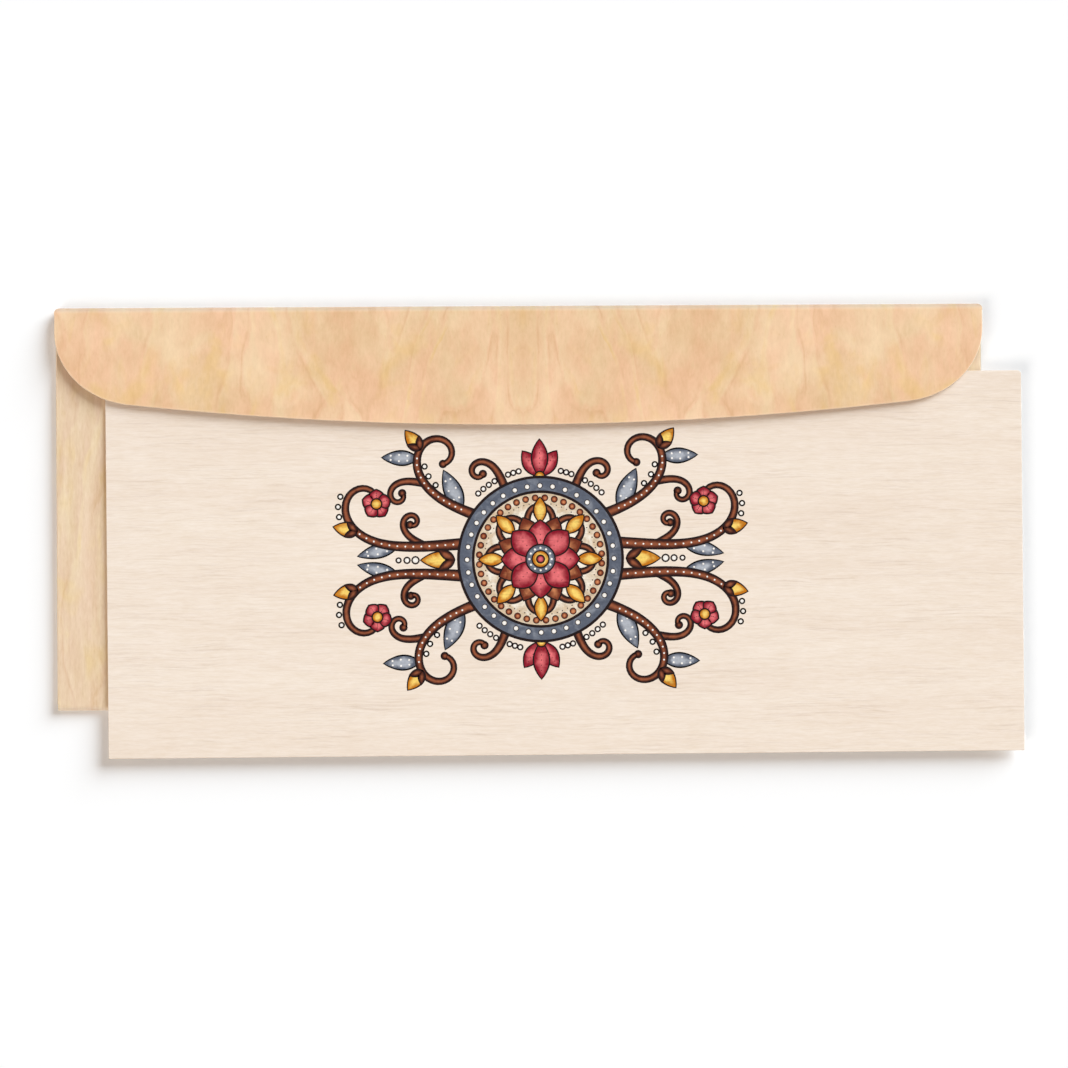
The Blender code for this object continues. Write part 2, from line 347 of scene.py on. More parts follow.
class Tree(Nodes):
    """A material's node tree, with one short call for each thing that a material here is made of."""

    def __init__(self, name, shift=(0, 0, 0), match_line=None):
        self.material = bpy.data.materials.new(name)
        super().__init__(self.material)
        self.shader = self.nodes["Principled BSDF"]
        self.point = self.add("TexCoord").outputs["Object"]
        folded = self.point if match_line is None else self.mirrored(match_line)
        self.place = self.vector("ADD", folded, shift)

    def product(self, first, *others):
        for other in others:
            first = self.math("MULTIPLY", first, other)
        return first

    def without(self, value):
        return self.math("SUBTRACT", 1.0, value)

    def vector(self, operation, *values):
        return self.add("VectorMath", dict(enumerate(values)), operation=operation).outputs[0]

    def measure(self, operation, *values):
        return self.add("VectorMath", dict(enumerate(values)), operation=operation).outputs["Value"]

    def length(self, value):
        return self.measure("LENGTH", value)

    def whole(self, x=0.0, y=0.0, z=0.0):
        return self.add("CombineXYZ", {0: x, 1: y, 2: z}).outputs[0]

    def mirrored(self, line):
        """The point, folded about the line where two leaves of veneer meet."""
        x, y, z = self.add("SeparateXYZ", {0: self.point}).outputs
        return self.whole(self.math("ABSOLUTE", self.math("SUBTRACT", x, line)), y, z)

    def noise(self, grain):
        """A layer of grain, from about -0.5 to 0.5."""
        values = {
            "Vector": self.vector("DIVIDE", self.place, (*grain.size, grain.depth)),
            "Scale": 1.0,
            "Detail": grain.detail,
            "Roughness": grain.roughness,
            "Distortion": grain.distortion,
        }
        return self.math("SUBTRACT", self.add("TexNoise", values).outputs[0], 0.5)

    def ramp(self, value, limits):
        """0 up to the first of two limits, 1 beyond the second and smooth between them."""
        values = {"Value": value, "From Min": limits[0], "From Max": limits[1]}
        return self.add("MapRange", values, interpolation_type="SMOOTHSTEP").outputs[0]

    def shown(self, grain):
        """How strongly a layer of grain shows, from 0 to 1."""
        return self.ramp(self.noise(grain), grain.shows)

    def between(self, value, starts, ends):
        """1 between two pairs of limits: it rises across the first and falls across the second."""
        return self.product(self.ramp(value, starts), self.without(self.ramp(value, ends)))

    def pulse(self, turn, width):
        """A narrow line where a value starts its turn from 0 to 1: it rises steeply and fades slowly."""
        peak = width / LINE_STEEPNESS
        return self.between(turn, (0.0, peak), (peak, width))

    def mix(self, share, first, second):
        node = self.add("Mix", {"Factor": share}, data_type="RGBA")
        first_socket, second_socket = [socket for socket in node.inputs if socket.enabled][1:]
        self.put(first_socket, first)
        self.put(second_socket, second)
        return next(socket for socket in node.outputs if socket.enabled)

    def scaled(self, colour, factor):
        return self.add("VectorMath", {0: colour, "Scale": factor}, operation="SCALE").outputs[0]

    def total(self, *terms):
        """The sum of several values, each times its weight."""
        result = 0.0
        for value, weight in terms:
            result = self.math("MULTIPLY_ADD", value, weight, result)
        return result

    def tone(self, grains):
        """Several layers of grain added up, such as how much they lighten or darken a colour together."""
        return self.total(*((self.noise(grain), grain.weight) for grain in grains))

    def toned(self, colour, tone):
        """A colour made lighter or darker by a share; as wood does, it gets warmer where it darkens."""
        shares = self.vector("MULTIPLY", self.whole(tone, tone, tone), WOOD_TINT)
        return self.vector("MULTIPLY_ADD", shares, colour, colour)

    def mark(self, name):
        """A mark on the mesh: 1 at the points that have it, falling to 0 towards those that don't."""
        return self.add("Attribute", attribute_name=name).outputs["Fac"]

    def finish(self, colour, surface, grain, height):
        """Ends the material: its colour, a roughness that follows the grain, and a relief."""
        bump = self.add("Bump", {"Strength": 1.0, "Distance": GRAIN_BUMP, "Height": height})
        self.put(self.shader.inputs["Normal"], bump.outputs[0])
        self.put(self.shader.inputs["Base Color"], colour)
        roughness = self.math("MULTIPLY_ADD", grain, surface.swing, surface.roughness)
        self.put(self.shader.inputs["Roughness"], roughness)
        self.put(self.shader.inputs["Specular IOR Level"], surface.specular)
        return self.material


def figure_lines(tree, leaf):
    """Growth rings that wander along the grain: how far each has grown, its dark and its stained line."""
    from_pith = tree.vector("MULTIPLY", tree.vector("SUBTRACT", tree.place, leaf.pith), leaf.ring_rate)
    phase = tree.total(
        (tree.length(from_pith), 1.0),
        (tree.noise(RING_WANDER), leaf.ring_wander),
        (tree.noise(RING_WIGGLE), RING_WIGGLE.weight),
    )
    presence = tree.noise(LINE_PRESENCE)
    growth = tree.math("FRACT", phase)
    ring = tree.product(growth, tree.without(tree.ramp(growth, RING_CREST)))
    line = tree.product(tree.pulse(growth, RING_LINE), tree.ramp(presence, LINE_PRESENCE.shows))
    stained = tree.math("FRACT", tree.math("ADD", phase, STAIN_OFFSET))
    stain_line = tree.product(tree.pulse(stained, STAIN_LINE), tree.ramp(presence, STAIN_LINE_SHOWS))
    return ring, line, stain_line


def sheet_depth(tree, sheet, thickness=SHEET_THICKNESS):
    """How deep a point lies in its sheet, from 0 at the outer face to 1 at the inner one."""
    if sheet.centre is None:
        reach = tree.measure("DOT_PRODUCT", tree.point, sheet.outward)
    else:
        from_axis = tree.vector("SUBTRACT", tree.point, sheet.centre)
        reach = tree.length(tree.vector("MULTIPLY", from_axis, sheet.outward))
    return tree.math("DIVIDE", tree.math("SUBTRACT", sheet.level, reach), thickness)


def bent_share(tree, sheet):
    """How far a point of a fold lies round the bend, from 0 over its axis to 1 at its outermost line."""
    from_axis = tree.vector("MULTIPLY", tree.vector("SUBTRACT", tree.point, sheet.centre), sheet.outward)
    across = tree.length(tree.vector("MULTIPLY", from_axis, (1, 1, 0)))
    return tree.math("DIVIDE", across, tree.length(from_axis))


def veneer(name, leaf, sheet):
    """Sanded veneer with a figured outer face, a duller inner face, a glue line in its cut edge, a painted
    highlight on its rim and painted light and shade on a fold's outside.
    """
    tree = Tree(name, leaf.shift, leaf.match_line)
    ring, line, stain_line = figure_lines(tree, leaf)
    blotch = tree.total((tree.noise(leaf.blotch), 1.0), (ring, RING_TONE))
    colour = tree.mix(tree.ramp(blotch, BLOTCH_SHOWS), linear(leaf.warm), linear(leaf.pale))
    stains = tree.product(tree.math("MAXIMUM", tree.shown(STAIN_PATCHES), stain_line), leaf.stain_share)
    colour = tree.mix(stains, colour, linear(leaf.stain))
    colour = tree.mix(tree.product(line, leaf.line_share), colour, linear(leaf.line))
    fine = tree.noise(FINE_GRAIN)
    tone = tree.total(
        (tree.tone(leaf.tones), 1.0),
        (fine, FINE_GRAIN.weight),
        (tree.shown(PORES), -PORE_DEPTH),
        (tree.without(ring), -RING_DARKENING),
    )
    # Painted light and painted shade on the outside of a fold, growing round its bend
    if sheet.centre is not None:
        bend = tree.ramp(bent_share(tree, sheet), BEND_SHOWS)
        tone = tree.total((tone, 1.0), (bend, leaf.bend_tone))
        colour = tree.scaled(colour, tree.math("MULTIPLY_ADD", bend, leaf.bend_shade, 1.0))
    depth = sheet_depth(tree, sheet)
    inner = tree.product(tree.ramp(depth, INNER_FACE_DEPTHS), INNER_FACE_SHARE)
    colour = tree.mix(inner, colour, linear(INNER_FACE))
    # Painted highlight along the rim of the outer face
    colour = tree.toned(colour, tree.total((tone, 1.0), (tree.mark(RIM_MARK), leaf.painted_rim_highlight)))
    from_glue = tree.math("ABSOLUTE", tree.math("SUBTRACT", depth, GLUE_DEPTH))
    glue = tree.without(tree.ramp(from_glue, GLUE_REACH))
    edge = tree.mix(glue, linear(CUT_EDGE), linear(GLUE))
    colour = tree.mix(tree.between(depth, CUT_STARTS, CUT_ENDS), colour, edge)
    return tree.finish(colour, VENEER_FINISH, fine, fine)


def card_streaks(tree):
    """How dark the card's streaks are at a point, after bending the tree's place with the grain."""
    tree.place = tree.vector("ADD", tree.place, tree.whole(y=tree.tone([CARD_BEND])))
    fields = tree.math("MULTIPLY_ADD", tree.shown(CARD_FIELDS), CARD_FIELD_SHARE, 1 - CARD_FIELD_SHARE)
    return tree.product(tree.shown(CARD_STREAKS), fields)


def whitened(name, sheet):
    """Whitened veneer: pale, with thin tan streaks along the card's length."""
    tree = Tree(name)
    streaks = card_streaks(tree)
    hairs = tree.noise(CARD_HAIRS)
    colour = tree.mix(tree.shown(CARD_BANDS), linear(CARD_PALE), linear(CARD_TONE))
    colour = tree.mix(tree.product(streaks, CARD_STREAK_SHARE), colour, linear(CARD_STREAK))
    tone = tree.total(
        (tree.tone(CARD_TONES), 1.0),
        (hairs, CARD_HAIRS.weight),
        # Painted highlight along the card's rim
        (tree.mark(RIM_MARK), CARD_PAINTED_RIM_HIGHLIGHT),
    )
    colour = tree.toned(colour, tone)
    cut = tree.between(sheet_depth(tree, sheet, CARD_THICKNESS), CARD_CUT_STARTS, CARD_CUT_ENDS)
    colour = tree.mix(cut, colour, linear(CARD_EDGE))
    relief = tree.total((streaks, -CARD_STREAK_DEPTH), (hairs, CARD_HAIR_HEIGHT))
    return tree.finish(colour, CARD_FINISH, hairs, relief)


def printed(name, ink):
    """Ink on the card: darker at each patch's rim and granular, with the card's streaks in it."""
    tree = Tree("ink " + name)
    granules = tree.noise(INK_GRANULES)
    spread = tree.total((tree.mark(INK_HEART), 1.0), (tree.noise(INK_POOLS), INK_POOLS.weight))
    colour = tree.mix(tree.ramp(spread, (0.0, ink.settled)), linear(ink.rim), linear(ink.heart))
    tone = tree.total((granules, INK_GRANULES.weight), (tree.noise(INK_BRUSH), INK_BRUSH.weight))
    colour = tree.scaled(colour, tree.math("ADD", tone, 1.0))
    streaks = card_streaks(tree)
    colour = tree.scaled(colour, tree.math("MULTIPLY_ADD", streaks, -INK_STREAK_SHARE, 1.0))
    relief = tree.total((granules, INK_GRANULE_HEIGHT), (streaks, -INK_STREAK_DEPTH))
    return tree.finish(colour, INK_FINISH, granules, relief)


def gum():
    """Dried gum: a thin, slightly glossy film with brush marks along the flap."""
    tree = Tree("dried gum")
    strokes = tree.noise(GUM_STROKES)
    patches = tree.noise(GUM_PATCHES)
    tone = tree.total((strokes, GUM_STROKES.weight), (patches, GUM_PATCHES.weight))
    colour = tree.scaled(linear(GUM)[:3], tree.math("ADD", tone, 1.0))
    return tree.finish(colour, GUM_FINISH, patches, tree.math("ADD", strokes, patches))


def flap_outward():
    """The closed flap's outward direction, from its largest face that looks up."""
    faces = [face for face in NODES["closing_flap"].data.polygons if face.normal.z > 0]
    return max(faces, key=lambda face: face.area).normal.copy()


FLAP_OUTWARD = flap_outward()
FLAP_TILT = math.atan2(FLAP_OUTWARD.y, FLAP_OUTWARD.z)
FLAP_DOWNWARD = Vector((0, -math.cos(FLAP_TILT), math.sin(FLAP_TILT)))
FLAP_REACHES = [(vertex.co - HINGE).dot(FLAP_DOWNWARD) for vertex in NODES["closing_flap"].data.vertices]
FLAP_LIP = min(FLAP_REACHES)

# Leaves of veneer: the flap's, the back's, the pocket's, and the right side fold's, with painted shade on
# its outside
FLAP_LEAF = Leaf(
    PEACH, CREAM, FIGURE_LINE, VENEER_STAIN, VENEER_BLOTCH,
    pith=(-3, 0, 0), ring_rate=(83, 2, 0), ring_wander=5.5, line_share=0.40, stain_share=0.75,
    tones=VENEER_TONES, shift=(0.31, 0.12, 0.0), match_line=0.0012,
    # A stronger painted highlight on its rim, and greyish painted shade on the outside of its fold
    painted_rim_highlight=0.12, bend_tone=0.40, bend_shade=-0.40,
)
BACK_LEAF = FLAP_LEAF._replace(
    shift=(0.11, 0.75, 0.4), pith=(0.11, 0.60, 0), ring_rate=(125, 30, 0), ring_wander=3.5,
)
# The pocket's leaf has painted light on the outside of the left side and bottom folds
POCKET_LEAF = Leaf(
    SAND, STRAW, POCKET_LINE, POCKET_STAIN, POCKET_BLOTCH,
    pith=(0.94, 0.29, 0), ring_rate=(150, 26, 0), ring_wander=3.2, line_share=0.42, stain_share=0.70,
    tones=POCKET_TONES, shift=(0.93, 0.45, 0.2),
)
# The right side fold's leaf: painted shade on its outside instead of painted light
RIGHT_FOLD_LEAF = POCKET_LEAF._replace(bend_tone=0.0, bend_shade=-0.40)


def level_of(node, outward):
    """How far a node reaches along a direction."""
    return max(vertex.co.dot(outward) for vertex in NODES[node].data.vertices)


def flat_sheet(outward, node):
    """A flat sheet whose outer face is a node's face on the given side."""
    return Sheet(tuple(outward), level_of(node, outward))


def settle(piece, body, slot, material, *nodes):
    """Gives a piece its material and its body, and hides the nodes that it stands for. Its slot is not used.
    """
    piece.data.materials.append(material)
    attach(piece, body)
    if nodes:
        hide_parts(*nodes)


def new_piece(name, mesh):
    """A mesh object made from a finished bmesh."""
    data = bpy.data.meshes.new(name)
    bmesh.ops.recalc_face_normals(mesh, faces=mesh.faces)
    mesh.to_mesh(data)
    mesh.free()
    piece = bpy.data.objects.new(name, data)
    bpy.context.scene.collection.objects.link(piece)
    return piece


def mark_rim(mesh, outward, is_crease):
    """Marks a narrow rim inside the outline of a sheet's outer face, which gets a painted highlight."""
    rim_mark = mesh.verts.layers.float.new(RIM_MARK)
    middle = max(mesh.faces, key=lambda face: face.calc_area() * max(face.normal.dot(outward), 0.0))
    inset = bmesh.ops.inset_region(mesh, faces=[middle], thickness=RIM_WIDTH, use_even_offset=True)
    for vertex in {vertex for face in inset["faces"] for vertex in face.verts} - set(middle.verts):
        vertex[rim_mark] = 0.0 if is_crease(vertex.co) else 1.0


def softened(node, rounding, outward, is_crease=None):
    """A sheet with its CAD node's outline, whose cut edges are rubbed round. Creased sides stay sharp."""
    mesh = bmesh.new()
    mesh.from_mesh(NODES[node].data)
    bmesh.ops.remove_doubles(mesh, verts=mesh.verts, dist=WELD_DISTANCE)
    bmesh.ops.dissolve_limit(mesh, angle_limit=FLAT_ANGLE, verts=mesh.verts, edges=mesh.edges)
    sharp = [edge for edge in mesh.edges if edge.calc_face_angle(0) > SHARP_ANGLE]
    if is_crease is not None:
        sharp = [edge for edge in sharp if not all(is_crease(vertex.co) for vertex in edge.verts)]
    bmesh.ops.bevel(mesh, geom=sharp, offset=rounding, segments=EDGE_STEPS, profile=0.5, affect="EDGES")
    mark_rim(mesh, outward, is_crease or (lambda point: False))
    return new_piece(node + "_sheet", mesh)


def fold_section(radii, lips, tilt):
    """A bent sheet's outline as (distance outwards, height) from its axis: lip, arc, lip, out and back."""
    turn = math.pi - tilt
    section = []
    for radius, order in ((radii[1], 1), (radii[0], -1)):
        angles = [turn * step / FOLD_ARC_STEPS - math.pi / 2 for step in range(FOLD_ARC_STEPS + 1)]
        arc = [(radius * math.cos(angle), radius * math.sin(angle)) for angle in angles]
        across, height = arc[-1]
        upper = (across - lips[1] * math.cos(tilt), height + lips[1] * math.sin(tilt))
        section += [(-lips[0], -radius), *arc, upper][::order]
    return section


def ring_faces(mesh, rows):
    """Joins rows of vertices, each a closed ring, into a skin."""
    for first, second in zip(rows, rows[1:]):
        for index, vertex in enumerate(first):
            following = (index + 1) % len(first)
            mesh.faces.new((vertex, first[following], second[following], second[index]))


def fold_piece(name, outward, axis, radii, lips, span, tilt=0.0, corner_radius=0.0):
    """A sheet bent through about half a turn, with straight lips up to the panels that it joins.

    outward is the plan direction that the fold bulges to, axis its place as (plan distance, height), radii
    the inner and the outer radius, lips the reach of the lower and the upper lip, and span the ends along
    the axis. tilt is how far short of half a turn it stops, and corner_radius rounds its outer corners.
    """
    along = Vector((abs(outward.y), abs(outward.x), 0))
    middle, half_length = (span[0] + span[1]) / 2, (span[1] - span[0]) / 2
    section = fold_section(radii, lips, tilt)

    def end_inset(distance):
        overlap = max(distance - (radii[1] - corner_radius), 0.0)
        return corner_radius - math.sqrt(max(corner_radius ** 2 - overlap ** 2, 0.0))

    mesh = bmesh.new()
    rows = []
    for step in range(FOLD_LENGTH_STEPS + 1):
        share = 2 * step / FOLD_LENGTH_STEPS - 1
        row = []
        for distance, height in section:
            from_middle = share * (half_length - end_inset(distance))
            place = outward * (axis[0] + distance) + along * (middle + from_middle)
            row.append(mesh.verts.new((place.x, place.y, axis[1] + height)))
        rows.append(row)
    ring_faces(mesh, rows)
    count = len(section)
    for row in (rows[0], rows[-1]):
        for index in range(count // 2 - 1):
            mesh.faces.new((row[index], row[index + 1], row[count - 2 - index], row[count - 1 - index]))
    piece = new_piece(name, mesh)
    piece.data.polygons.foreach_set("use_smooth", [True] * len(piece.data.polygons))
    piece.data.set_sharp_from_angle(angle=SHARP_ANGLE)
    return piece


def panel(node, leaf, outward=UP, is_crease=None, body="envelope", slot="natural_veneer"):
    """A flat part of the folded sheet, with its leaf of veneer."""
    rounding = FLAP_EDGE_ROUNDING if body == "flap" else EDGE_ROUNDING
    piece = softened(node, rounding, outward, is_crease)
    settle(piece, body, slot, veneer(node + " leaf", leaf, flat_sheet(outward, node)), node)


def panels():
    """The flat parts of the folded sheet."""
    def at_back_creases(point):
        at_side = abs(point.x) > BACK_HIGH.x - WELD_DISTANCE
        return at_side or point.y > BACK_HIGH.y - WELD_DISTANCE or point.y < BACK_LOW.y + WELD_DISTANCE

    def at_front_crease(point):
        return point.y < FRONT_LOW.y + WELD_DISTANCE

    def at_flap_crease(point):
        return (point - HINGE).dot(FLAP_DOWNWARD) < FLAP_LIP + WELD_DISTANCE

    panel("back_panel", BACK_LEAF, DOWN, at_back_creases)
    panel("front_panel", POCKET_LEAF, UP, at_front_crease)
    for node in ("left_side_tab", "right_side_tab"):
        panel(node, POCKET_LEAF, slot="inner_veneer")
    panel("closing_flap", FLAP_LEAF, FLAP_OUTWARD, at_flap_crease, "flap")


def flap_fold():
    """The fold that the flap turns about: a sheet bent round between the envelope and the flap."""
    outer = HINGE.z - BACK_LOW.z
    radii = (outer - SHEET_THICKNESS, outer)
    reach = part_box("flap_fold")[1].x
    lips = (HINGE.y - BACK_HIGH.y, FLAP_LIP)
    fold = fold_piece("flap_fold_sheet", Vector((0, 1, 0)), (HINGE.y, HINGE.z), radii, lips, (-reach, reach),
                      FLAP_TILT, FOLD_CORNER_RADIUS)
    fold.data.materials.append(veneer("flap fold leaf", FLAP_LEAF, Sheet((0, 1, 1), outer, tuple(HINGE))))
    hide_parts("flap_fold")
    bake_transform(fold)


def fixed_fold(node, outward, lower_edge, upper_edge, leaf=POCKET_LEAF):
    """A fold between two fixed panels, whose creased edges lie at the given distances from the origin."""
    low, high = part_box(node)
    outer = (high.z - low.z) / 2
    height = (low.z + high.z) / 2
    distance = max(low.dot(outward), high.dot(outward)) - outer
    lips = (distance - lower_edge, distance - upper_edge)
    span = (low.x, high.x) if outward.x == 0 else (low.y, high.y)
    radii = (outer - SHEET_THICKNESS, outer)
    fold = fold_piece(node + "_sheet", outward, (distance, height), radii, lips, span)
    across = (abs(outward.x), abs(outward.y), 1)
    centre = (outward.x * distance, outward.y * distance, height)
    material = veneer(node + " leaf", leaf, Sheet(across, outer, centre))
    settle(fold, "envelope", "folded_veneer", material, node)


def folds():
    """The rounded folds between the flat parts."""
    flap_fold()
    fixed_fold("bottom_fold", Vector((0, -1, 0)), -BACK_LOW.y, -FRONT_LOW.y)
    fixed_fold("left_side_fold", Vector((-1, 0, 0)), BACK_HIGH.x, TAB_HIGH.x)
    fixed_fold("right_side_fold", Vector((1, 0, 0)), BACK_HIGH.x, TAB_HIGH.x, RIGHT_FOLD_LEAF)


def flap_outline():
    """The flap's lower outline as (place along the hinge, reach below it), from left to right."""
    reaches = {}
    for vertex, reach in zip(NODES["closing_flap"].data.vertices, FLAP_REACHES):
        place = round(vertex.co.x / WELD_DISTANCE) * WELD_DISTANCE
        reaches[place] = max(reach, reaches.get(place, 0.0))
    return sorted(reaches.items())


def gum_band():
    """The band of dried gum along the flap's edge, on its inner face."""
    corners = flap_outline()
    inner_level = level_of("closing_flap", FLAP_OUTWARD) - SHEET_THICKNESS
    half = corners[-1][0] - GUM_END_INSET

    def outline_reach(x):
        start, end = next((a, b) for a, b in zip(corners, corners[1:]) if b[0] >= x)
        return start[1] + (end[1] - start[1]) * (x - start[0]) / (end[0] - start[0])

    def gum_point(x, reach, thickness):
        origin = HINGE + FLAP_DOWNWARD * reach
        level = inner_level + WELD_DISTANCE - thickness
        place = origin + FLAP_OUTWARD * (level - origin.dot(FLAP_OUTWARD))
        return x, place.y, place.z

    mesh = bmesh.new()
    rows = []
    for step in range(GUM_STEPS + 1):
        share = math.sin(math.pi * (step / GUM_STEPS - 1 / 2))
        x = half * share
        width = GUM_WIDTH * max(1 - abs(share) ** GUM_END_SQUARENESS, GUM_THICKNESS / GUM_WIDTH) ** 0.5
        lower = outline_reach(x) - GUM_INSET
        upper = lower - width
        corner_places = ((lower, 0), (upper, 0), (upper, GUM_THICKNESS), (lower, GUM_THICKNESS))
        rows.append([mesh.verts.new(gum_point(x, reach, thickness)) for reach, thickness in corner_places])
    ring_faces(mesh, rows)
    mesh.faces.new(rows[0])
    mesh.faces.new(rows[-1][::-1])
    settle(new_piece("gum_band", mesh), "flap", "natural_veneer", gum())


def card():
    """The whitened card."""
    piece = softened("card", EDGE_ROUNDING, UP)
    settle(piece, "card", "whitened_veneer", whitened("card leaf", flat_sheet(UP, "card")), "card")


# Ornament: its place on the card, how finely its outlines are drawn, how many layers of ink a fill and a
# vine's tip lie above the lines round them, and the first layers of its parts
ORNAMENT_OFFSET = Vector((-0.0063, 0.0015))
VINE_STEPS = 48
DROP_STEPS = 12
DISC_STEPS = 10
DISC_STEP_LENGTH = 0.0020
DROP_SHARPNESS = 0.85
FILL_LIFT = 0.5
TIP_LIFT = 0.75
FINIAL_LAYER = 4
AXIS_BUD_LAYER = 5
MEDALLION_LAYER = 8


class Vine(NamedTuple):
    """A scroll: its root, heading in degrees, length, and its bend (per metre) and width at root and tip.

    The higher its quickening, the nearer to its tip its bend tightens.
    """
    root: tuple
    heading: float
    length: float
    bend: tuple
    width: tuple
    quickening: float
    tip_radius: float = 0.0007


class Drop(NamedTuple):
    """A drop shape: its ink, length and width, and at which share of its length it is widest."""
    ink: str
    length: float
    width: float
    fullness: float


class Patch(NamedTuple):
    """A flat patch of ink: its layer, the ring round it and the heart point that each ring point faces."""
    ink: str
    layer: float
    ring: list
    hearts: list


# Vines of one quarter
OUTER_VINE = Vine((0.0195, 0.0042), -4, 0.050, (1, 340), (0.0023, 0.0008), 2.5)
ARCH_VINE = Vine((0.0165, 0.0115), 20, 0.041, (12, 360), (0.0021, 0.0008), 1.8)
OUTER_CURL = Vine(None, 30, 0.017, (-20, 950), (0.0014, 0.0006), 1.5)
ARCH_TWIG = Vine(None, 8, 0.017, (20, -800), (0.0014, 0.0006), 1.4)
RIM_CURL = Vine((0.0092, 0.0188), 70, 0.0175, (-15, -780), (0.0016, 0.0007), 1.6)
OUTER_CURL_SHARE = 0.20
ARCH_TWIG_SHARE = 0.40

# Leaves and buds of one quarter: the share of their vine where they grow, their heading and their drop
ARCH_LEAVES = (
    (0.10, 66, Drop("slate", 0.0110, 0.0042, 0.45)),
    (0.56, 2, Drop("slate", 0.0090, 0.0034, 0.45)),
)
OUTER_LEAF = (0.36, -14, Drop("slate", 0.0105, 0.0032, 0.45))
LEAF_DOT_RADIUS = 0.00028
LEAF_DOT_SHARES = (0.28, 0.52, 0.76)
LEAF_DOT_SPREAD = 0.24
BUD = Drop("gold", 0.0060, 0.0033, 0.42)
ARCH_BUD = (0.62, 52)
OUTER_BUD = (0.58, 12)
SEPAL_TURN = 34
SEPAL_LENGTH_SHARE = 0.55
SEPAL_WIDTH_SHARE = 0.42
SEPAL_FULLNESS = 0.45

# Pearls beside the vines: first and last share of the vine, how many, and how far to its left they lie
PEARL_RADIUS = 0.00045
OUTER_PEARLS = (0.64, 0.78, 4, -0.0019)
ARCH_PEARLS = (0.34, 0.50, 3, 0.0019)

# White dots along the middle of the vines, in the same four values
VINE_DOT_RADIUS = 0.00024
OUTER_DOTS = (3 / VINE_STEPS, 27 / VINE_STEPS, 13, 0.0)
ARCH_DOTS = (5 / VINE_STEPS, 27 / VINE_STEPS, 12, 0.0)

# Arcs of pearls round the medallion's rim: first and last angle in degrees and how many
RIM_PEARL_RING = 0.0235
RIM_PEARLS = ((69.5, 76.5, 3), (47, 60, 4))

# Dotted seams along the crimson petals
SEAM_RADIUS = 0.00014
SEAM_SHARES = (0.22, 0.36, 0.50, 0.64, 0.78)

# Blossom at the outer vine's tip: its first petal points up, a quarter of the way round
BLOSSOM_PETALS = 5
BLOSSOM_TURN = BLOSSOM_PETALS / 4
BLOSSOM_PETAL = Drop("crimson", 0.0036, 0.0033, 0.62)
BLOSSOM_HEART_RADIUS = 0.0012

# Finials above and below the medallion, and buds to its left and right
FINIAL_START = 0.0215
FINIAL_SIDE_PETAL = Drop("crimson", 0.0078, 0.0038, 0.50)
FINIAL_TOP_PETAL = Drop("crimson", 0.0095, 0.0038, 0.50)
FINIAL_PETALS = ((34, FINIAL_SIDE_PETAL), (-34, FINIAL_SIDE_PETAL), (0, FINIAL_TOP_PETAL))
FINIAL_HEART_RADIUS = 0.0011
AXIS_BUD_START = 0.0225
AXIS_BUD = Drop("gold", 0.0085, 0.0040, 0.42)
AXIS_PEARL_START = 0.0325
AXIS_PEARL_STEP = 0.0022
AXIS_PEARL_RADII = (0.00070, 0.00056, 0.00042)

# Medallion: its rings from the outside in, and the rings of petals in it
MEDALLION_LINE = 0.0007
MEDALLION_RINGS = (("slate", 0.0210), ("wash", 0.01716))
VOLUTE_START = 0.0085
VOLUTE_TURN = 14
VOLUTE = Vine(None, 0, 0.0115, (60, 980), (0.0012, 0.0006), 1.6, 0.0005)
PETAL_COUNT = 8
PETAL_RINGS = (
    (0.0, 0.0095, Drop("gold", 0.0064, 0.0030, 0.50)),
    (0.5, 0.0, Drop("rust", 0.0115, 0.0052, 0.60)),
    (0.0, 0.0, Drop("crimson", 0.0100, 0.0061, 0.60)),
)
CORE_RINGS = (("slate", 0.0036), ("gold", 0.0020), ("crimson", 0.0008))

# The medallion's rings of dots: ink, how many, turn of the first, radius of the ring and of a dot, and line
PEARL_RING = ("white", 36, 0.0, 0.01908, 0.00056, 0.0002)
BEAD_RING = ("rust", 40, 0.5, 0.01595, 0.00072, 0.0002)
STIPPLE_RING = ("outline", 64, 0.0, 0.01455, 0.00016, 0)
CORE_DOT_RING = ("white", 12, 0.0, 0.0029, 0.0003, 0)


def ahead(heading, distance):
    """A step of the given distance in the direction of a heading."""
    return Vector((math.cos(heading), math.sin(heading))) * distance


def round_about(count, turn=0.0):
    """Headings spaced evenly round a circle, the first one turned by a share of the spacing."""
    return [math.tau * (index + turn) / count for index in range(count)]


def spread(first, last, count):
    """Values spaced evenly from the first to the last."""
    return [first + (last - first) * index / (count - 1) for index in range(count)]


def vine_path(vine, root=None, heading=None):
    """A vine's places and headings, from root to tip. Root and heading are its own unless given."""
    step = vine.length / VINE_STEPS
    first_heading = math.radians(vine.heading) if heading is None else heading
    path = [(Vector(vine.root if root is None else root), first_heading)]
    for index in range(VINE_STEPS):
        point, heading = path[-1]
        share = (index + 0.5) / VINE_STEPS
        heading += step * (vine.bend[0] + (vine.bend[1] - vine.bend[0]) * share ** vine.quickening)
        path.append((point + ahead(heading, step), heading))
    return path


